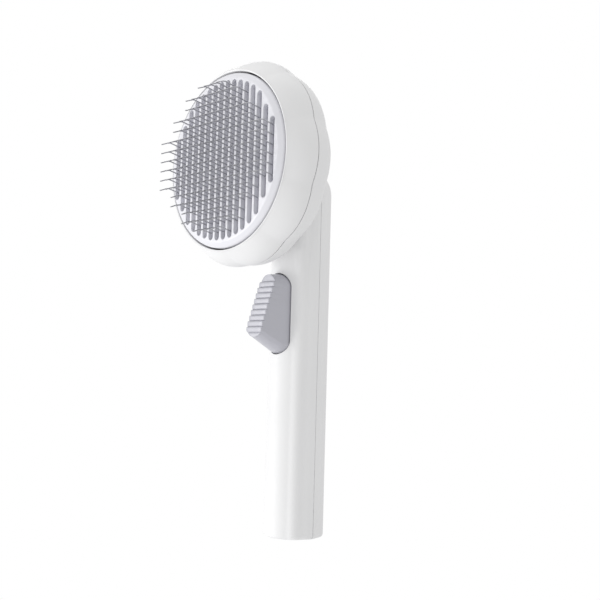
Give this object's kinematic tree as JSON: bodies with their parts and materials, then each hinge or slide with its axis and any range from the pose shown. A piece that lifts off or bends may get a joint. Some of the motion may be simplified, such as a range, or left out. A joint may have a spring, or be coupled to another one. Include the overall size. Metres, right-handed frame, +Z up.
{
  "type": "slicker brush",
  "caption": "Hand-held grooming brush with a round lobed head of bent wire pins, a slotted plate that slides out over them, a squeeze trigger and a fluted handle.",
  "frame": {"origin": "middle of the flat end of the handle", "axes": "+Z up the handle towards the head, -Y the way the pins and the trigger face, +X across the head"},
  "size_m": [0.0842, 0.0649, 0.1927],
  "materials": {
    "shell_white": "satin white moulded shell",
    "plate_pale": "satin pale lilac-white moulding",
    "trigger_lilac": "satin grey-lilac moulding",
    "bed_grey": "matte grey moulding",
    "inner_grey": "matte grey moulding",
    "pin_steel": "drawn steel wire",
    "spring_steel": "spring wire",
    "fastener_steel": "zinc-plated steel"
  },
  "bodies": {
    "body": {"handle_front_shell": "shell_white", "handle_rear_shell": "shell_white", "head_front_shell": "shell_white", "head_rear_shell": "shell_white", "pin_bed": "bed_grey", "pin_backing_plate": "inner_grey", "pin_row_01": "pin_steel", "pin_row_02": "pin_steel", "pin_row_03": "pin_steel", "pin_row_04": "pin_steel", "pin_row_05": "pin_steel", "pin_row_06": "pin_steel", "pin_row_07": "pin_steel", "pin_row_08": "pin_steel", "pin_row_09": "pin_steel", "pin_row_10": "pin_steel", "pin_row_11": "pin_steel", "pin_row_12": "pin_steel", "pin_row_13": "pin_steel", "pin_row_14": "pin_steel", "pin_row_15": "pin_steel", "pin_row_16": "pin_steel", "return_spring_1": "spring_steel", "return_spring_2": "spring_steel", "return_spring_3": "spring_steel", "return_spring_4": "spring_steel", "bed_screw_1": "fastener_steel", "bed_screw_2": "fastener_steel", "bed_screw_3": "fastener_steel", "bed_screw_4": "fastener_steel", "neck_screw_1": "fastener_steel", "neck_screw_2": "fastener_steel", "neck_screw_3": "fastener_steel", "neck_screw_4": "fastener_steel", "trigger_pivot_pin": "fastener_steel"},
    "stripper": {"stripper_plate": "plate_pale", "pusher_carrier": "inner_grey"},
    "trigger": {"trigger": "trigger_lilac"}
  },
  "joints": [
    {"name": "trigger_squeeze", "type": "hinge", "parent": "body", "child": "trigger", "pos_m": [0, 0, 0.1077], "axis": [1, 0, 0], "range_deg": [0, 14.5], "stiffness_Nm_per_rad": 0.05, "springref_deg": -4.58},
    {"name": "stripper_slide", "type": "slide", "parent": "body", "child": "stripper", "axis": [0, -1, 0], "range_m": [0, 0.00898], "stiffness_N_per_m": 20, "springref_m": -0.012, "deforming": ["return_spring_1", "return_spring_2", "return_spring_3", "return_spring_4"]}
  ],
  "couplings": [
    {"joint": "trigger_squeeze", "follows": "stripper_slide", "rad_per_m": 28.169}
  ]
}
